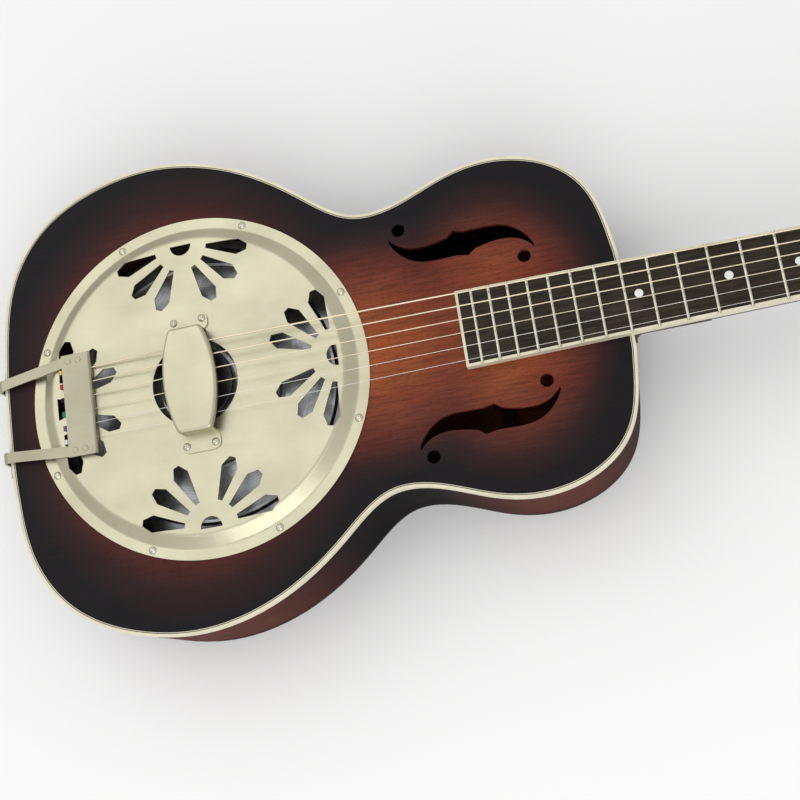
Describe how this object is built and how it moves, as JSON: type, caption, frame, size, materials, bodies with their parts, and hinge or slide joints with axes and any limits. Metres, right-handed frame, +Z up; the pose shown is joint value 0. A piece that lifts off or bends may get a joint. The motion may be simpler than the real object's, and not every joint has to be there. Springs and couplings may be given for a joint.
{
  "type": "resonator guitar",
  "caption": "Wooden-bodied guitar with a spun metal cone under a pierced round coverplate, f-shaped sound holes, fretted neck, hinged tailpiece and geared tuners.",
  "frame": {"origin": "on the flat back, under the middle of the resonator cone", "axes": "+X to the treble side, +Y along the neck to the head, +Z up through the soundboard"},
  "size_m": [0.36, 0.9699, 0.1118],
  "materials": {
    "mahogany_top": "gloss sunburst lacquer",
    "mahogany_side": "gloss lacquer",
    "mahogany_neck": "satin lacquer",
    "raw_wood": "bare",
    "rosewood": "oiled",
    "black_wood": "satin",
    "cream_binding": "polished",
    "black_white_line": "polished",
    "pearl": "polished",
    "bone": "polished",
    "spun_aluminium": "spun",
    "satin_nickel": "satin brushed",
    "bright_nickel": "polished",
    "bronze_string": "wound",
    "steel_string": "drawn",
    "ball_colours": "anodised",
    "steel": "plain"
  },
  "bodies": {
    "body_and_neck": {"soundboard": "mahogany_top", "top_binding": "cream_binding", "top_purfling": "black_white_line", "back_plate": "mahogany_side", "side_bass": "mahogany_side", "side_treble": "mahogany_side", "neck_block": "raw_wood", "tail_block": "raw_wood", "kerfed_linings": "raw_wood", "top_braces": "raw_wood", "back_braces": "raw_wood", "soundwell": "raw_wood", "soundwell_posts": "raw_wood", "cone": "spun_aluminium", "biscuit": "black_wood", "biscuit_screw": "steel", "saddle": "bone", "coverplate": "satin_nickel", "coverplate_screws": "bright_nickel", "hand_rest": "satin_nickel", "hand_rest_screws": "bright_nickel", "tail_bracket": "satin_nickel", "tail_bracket_screws": "bright_nickel", "strap_button": "bright_nickel", "hinge_pin": "bright_nickel", "neck": "mahogany_neck", "neck_bolts": "steel", "headstock_veneer": "black_wood", "truss_rod": "steel", "truss_rod_cover": "black_wood", "fretboard": "rosewood", "fretboard_binding": "cream_binding", "position_dots": "pearl", "frets": "bright_nickel", "nut": "bone", "tuner_plates": "bright_nickel", "tuner_bushings": "bright_nickel", "headstock_screws": "bright_nickel", "string_1": "steel_string", "string_2": "steel_string", "string_3": "bronze_string", "string_4": "bronze_string", "string_5": "bronze_string", "string_6": "bronze_string"},
    "tailpiece": {"string_anchor": "satin_nickel", "tailpiece_arms": "satin_nickel", "tailpiece_rivets": "bright_nickel", "ball_ends": "ball_colours"},
    "tuner_key_1": {"tuner_key_1": "bright_nickel"},
    "tuner_post_1": {"tuner_post_1": "bright_nickel"},
    "tuner_key_2": {"tuner_key_2": "bright_nickel"},
    "tuner_post_2": {"tuner_post_2": "bright_nickel"},
    "tuner_key_3": {"tuner_key_3": "bright_nickel"},
    "tuner_post_3": {"tuner_post_3": "bright_nickel"},
    "tuner_key_4": {"tuner_key_4": "bright_nickel"},
    "tuner_post_4": {"tuner_post_4": "bright_nickel"},
    "tuner_key_5": {"tuner_key_5": "bright_nickel"},
    "tuner_post_5": {"tuner_post_5": "bright_nickel"},
    "tuner_key_6": {"tuner_key_6": "bright_nickel"},
    "tuner_post_6": {"tuner_post_6": "bright_nickel"}
  },
  "joints": [
    {"name": "tailpiece_hinge", "type": "hinge", "parent": "body_and_neck", "child": "tailpiece", "pos_m": [0, -0.158, 0.072], "axis": [1, 0, 0], "range_deg": [0, 12], "deforming": ["string_1", "string_2", "string_3", "string_4", "string_5", "string_6"]},
    {"name": "tuner_key_turn_1", "type": "hinge", "parent": "body_and_neck", "child": "tuner_key_1", "pos_m": [0.021, 0.6774, 0.06232], "axis": [1, 0, 0], "continuous": true},
    {"name": "tuner_post_turn_1", "type": "hinge", "parent": "body_and_neck", "child": "tuner_post_1", "pos_m": [0.021, 0.67537, 0.08231], "axis": [0, 0.2419, 0.9703], "continuous": true},
    {"name": "tuner_key_turn_2", "type": "hinge", "parent": "body_and_neck", "child": "tuner_key_2", "pos_m": [0.021, 0.71621, 0.05265], "axis": [1, 0, 0], "continuous": true},
    {"name": "tuner_post_turn_2", "type": "hinge", "parent": "body_and_neck", "child": "tuner_post_2", "pos_m": [0.021, 0.71418, 0.07263], "axis": [0, 0.2419, 0.9703], "continuous": true},
    {"name": "tuner_key_turn_3", "type": "hinge", "parent": "body_and_neck", "child": "tuner_key_3", "pos_m": [0.021, 0.75502, 0.04297], "axis": [1, 0, 0], "continuous": true},
    {"name": "tuner_post_turn_3", "type": "hinge", "parent": "body_and_neck", "child": "tuner_post_3", "pos_m": [0.021, 0.75299, 0.06295], "axis": [0, 0.2419, 0.9703], "continuous": true},
    {"name": "tuner_key_turn_4", "type": "hinge", "parent": "body_and_neck", "child": "tuner_key_4", "pos_m": [-0.021, 0.75502, 0.04297], "axis": [1, 0, 0], "continuous": true},
    {"name": "tuner_post_turn_4", "type": "hinge", "parent": "body_and_neck", "child": "tuner_post_4", "pos_m": [-0.021, 0.75299, 0.06295], "axis": [0, 0.2419, 0.9703], "continuous": true},
    {"name": "tuner_key_turn_5", "type": "hinge", "parent": "body_and_neck", "child": "tuner_key_5", "pos_m": [-0.021, 0.71621, 0.05265], "axis": [1, 0, 0], "continuous": true},
    {"name": "tuner_post_turn_5", "type": "hinge", "parent": "body_and_neck", "child": "tuner_post_5", "pos_m": [-0.021, 0.71418, 0.07263], "axis": [0, 0.2419, 0.9703], "continuous": true},
    {"name": "tuner_key_turn_6", "type": "hinge", "parent": "body_and_neck", "child": "tuner_key_6", "pos_m": [-0.021, 0.6774, 0.06232], "axis": [1, 0, 0], "continuous": true},
    {"name": "tuner_post_turn_6", "type": "hinge", "parent": "body_and_neck", "child": "tuner_post_6", "pos_m": [-0.021, 0.67537, 0.08231], "axis": [0, 0.2419, 0.9703], "continuous": true}
  ],
  "couplings": [
    {"joint": "tuner_post_turn_1", "follows": "tuner_key_turn_1", "ratio": 0.066667},
    {"joint": "tuner_post_turn_2", "follows": "tuner_key_turn_2", "ratio": 0.066667},
    {"joint": "tuner_post_turn_3", "follows": "tuner_key_turn_3", "ratio": 0.066667},
    {"joint": "tuner_post_turn_4", "follows": "tuner_key_turn_4", "ratio": 0.066667},
    {"joint": "tuner_post_turn_5", "follows": "tuner_key_turn_5", "ratio": 0.066667},
    {"joint": "tuner_post_turn_6", "follows": "tuner_key_turn_6", "ratio": 0.066667}
  ]
}
